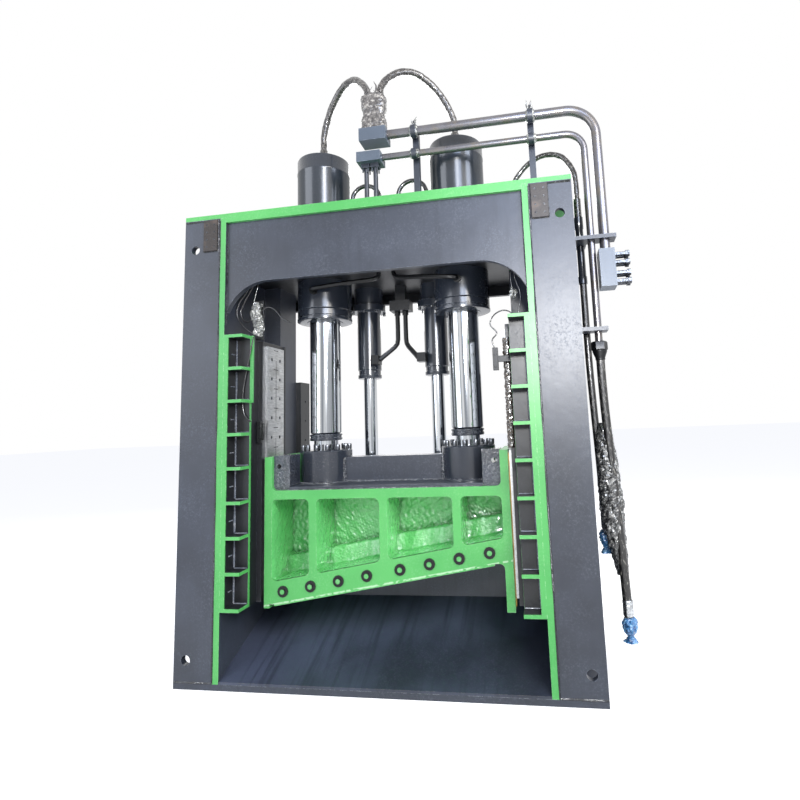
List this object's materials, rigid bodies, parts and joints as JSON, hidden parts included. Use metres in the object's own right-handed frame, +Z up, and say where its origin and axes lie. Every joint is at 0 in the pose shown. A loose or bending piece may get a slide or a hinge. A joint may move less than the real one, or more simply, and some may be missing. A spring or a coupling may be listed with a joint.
{
  "type": "gantry shear",
  "caption": "Hydraulic scrap shear head: welded portal frame with a guided ram and raked knife over a fixed knife, a clamp beam behind, cylinders, pipes and hoses.",
  "frame": {"origin": "middle of the base plate's underside, on the floor", "axes": "+Z up; -Y towards the front, where the cut pieces slide out; +X to the right seen from the front"},
  "size_m": [2.9145, 1.012, 4.1128],
  "materials": {
    "dark_paint": "satin blue-grey paint on plate, dusty and scuffed",
    "green_paint": "satin green paint, chipped at the edges",
    "grey_paint": "satin grey paint on pipe",
    "wear_steel": "machined face with oil grooves",
    "knife_steel": "ground tool steel",
    "black_steel": "blackened steel, oily",
    "bright_steel": "zinc plated",
    "rusty_plate": "bare plate with a dark film of rust",
    "hard_chrome": "polished hard chrome with a film of oil",
    "bronze": "machined bronze",
    "hose_rubber": "black rubber under clear film",
    "stretch_film": "layers of crumpled clear film",
    "blue_wrap": "blue film twisted round the fitting"
  },
  "bodies": {
    "frame": {"base_plate": "dark_paint", "side_walls": "dark_paint", "left_column": "dark_paint", "right_column": "dark_paint", "left_guide_ribs": "green_paint", "right_guide_ribs": "green_paint", "left_ram_guide": "dark_paint", "right_ram_guide": "dark_paint", "left_liner": "wear_steel", "right_liner": "wear_steel", "cheek_boxes": "dark_paint", "clamp_guides": "dark_paint", "top_plate": "green_paint", "front_beam": "dark_paint", "rear_beam": "dark_paint", "cylinder_web": "dark_paint", "beam_diaphragms": "dark_paint", "knife_beam": "dark_paint", "lower_knife": "knife_steel", "lower_knife_bolts": "black_steel", "chute": "dark_paint", "corner_pads": "rusty_plate", "left_main_barrel": "dark_paint", "right_main_barrel": "dark_paint", "main_glands": "dark_paint", "clamp_barrels": "dark_paint", "clamp_glands": "dark_paint", "centre_manifold": "dark_paint", "clamp_pipes": "black_steel", "head_pipes": "black_steel", "upper_block": "dark_paint", "fitting_wrap": "stretch_film", "lower_block": "dark_paint", "drop_pipes": "dark_paint", "upper_pipe": "grey_paint", "lower_pipe": "grey_paint", "pipe_posts": "dark_paint", "top_hoses": "hose_rubber", "loop_hoses": "hose_rubber", "side_hose": "hose_rubber", "side_tube": "dark_paint", "side_block": "dark_paint", "side_block_studs": "bright_steel", "side_brackets": "dark_paint", "hose_coupling": "black_steel", "hose_long": "hose_rubber", "hose_long_cap": "blue_wrap", "hose_short": "hose_rubber", "hose_short_cap": "blue_wrap"},
    "ram": {"ram": "green_paint", "ram_shoes": "bronze", "upper_knife": "knife_steel", "upper_knife_bolts": "black_steel", "ram_saddle": "dark_paint", "guide_lugs": "dark_paint", "rod_sockets": "dark_paint", "main_rods": "hard_chrome"},
    "clamp": {"clamp_head": "dark_paint", "clamp_rods": "hard_chrome"}
  },
  "joints": [
    {"name": "ram_slide", "type": "slide", "parent": "frame", "child": "ram", "axis": [0, 0, 1], "range_m": [0, 0.76]},
    {"name": "clamp_slide", "type": "slide", "parent": "frame", "child": "clamp", "axis": [0, 0, 1], "range_m": [0, 0.5]}
  ]
}
